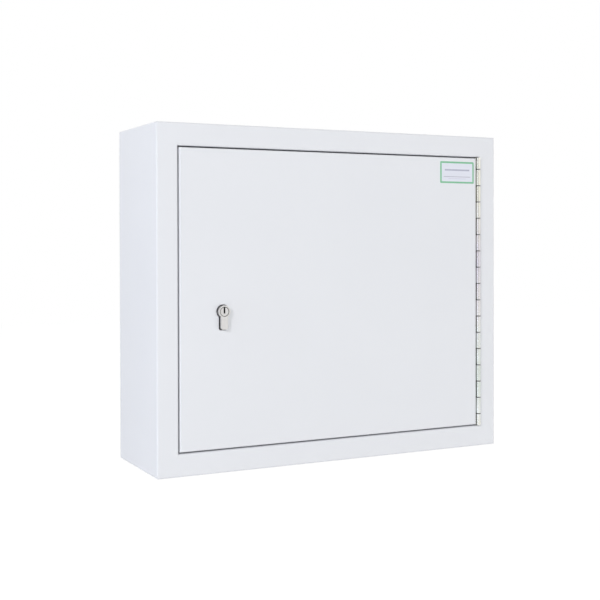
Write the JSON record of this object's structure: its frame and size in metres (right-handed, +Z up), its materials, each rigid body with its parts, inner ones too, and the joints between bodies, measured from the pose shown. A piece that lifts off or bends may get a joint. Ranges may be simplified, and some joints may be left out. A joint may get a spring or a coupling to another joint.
{
  "type": "lockable medicine cabinet",
  "caption": "Shallow white steel wall cabinet with a flush door on a full-height piano hinge, a key-operated deadlock and removable shelves inside.",
  "frame": {"origin": "centre of the four wall-fixing holes, on the plane of the back that lies on the wall", "axes": "+X to the right as seen from the front, the door faces -Y, +Z up"},
  "size_m": [0.55, 0.166, 0.475],
  "materials": {
    "white_paint": "satin powder coat",
    "zinc": "bright zinc plate",
    "nickel": "satin nickel plate",
    "brass": "machined",
    "spring_steel": "blued",
    "label": "printed film"
  },
  "bodies": {
    "cabinet": {"body_shell": "white_paint", "back_panel": "white_paint", "door_stops": "white_paint", "strike_plate": "zinc", "strike_screws": "zinc", "hinge_leaf_frame": "zinc", "hinge_pin": "zinc", "hinge_rivets_frame": "zinc", "shelf_strips_left": "white_paint", "shelf_strips_right": "white_paint", "shelf_lower": "white_paint", "shelf_upper": "white_paint", "shelf_clips_lower": "zinc", "shelf_clips_upper": "zinc"},
    "door": {"door_panel": "white_paint", "door_stiffener": "white_paint", "hinge_leaf_door": "zinc", "hinge_rivets_door": "zinc", "label": "label", "lock_case": "zinc", "lock_cover": "zinc", "lock_forend": "zinc", "forend_screws": "zinc", "lock_pillars": "zinc", "bolt_spring": "spring_steel", "lock_studs": "zinc", "lock_spacers": "zinc", "lock_nuts": "zinc", "cylinder_body": "nickel", "cylinder_screw": "zinc"},
    "plug": {"cylinder_plug": "nickel", "cylinder_cam": "nickel", "plug_circlip": "spring_steel"},
    "deadbolt": {"deadbolt": "brass"}
  },
  "joints": [
    {"name": "door_hinge", "type": "hinge", "parent": "cabinet", "child": "door", "pos_m": [0.24415, -0.1615, 0], "axis": [0, 0, 1], "range_deg": [0, 180]},
    {"name": "plug_turn", "type": "hinge", "parent": "door", "child": "plug", "pos_m": [-0.18, -0.14, -0.0172], "axis": [0, -1, 0], "range_deg": [0, 90]},
    {"name": "bolt_slide", "type": "slide", "parent": "door", "child": "deadbolt", "axis": [-1, 0, 0], "range_m": [0, 0.0154]}
  ],
  "couplings": [
    {"joint": "plug_turn", "follows": "bolt_slide", "rad_per_m": 101.99}
  ]
}
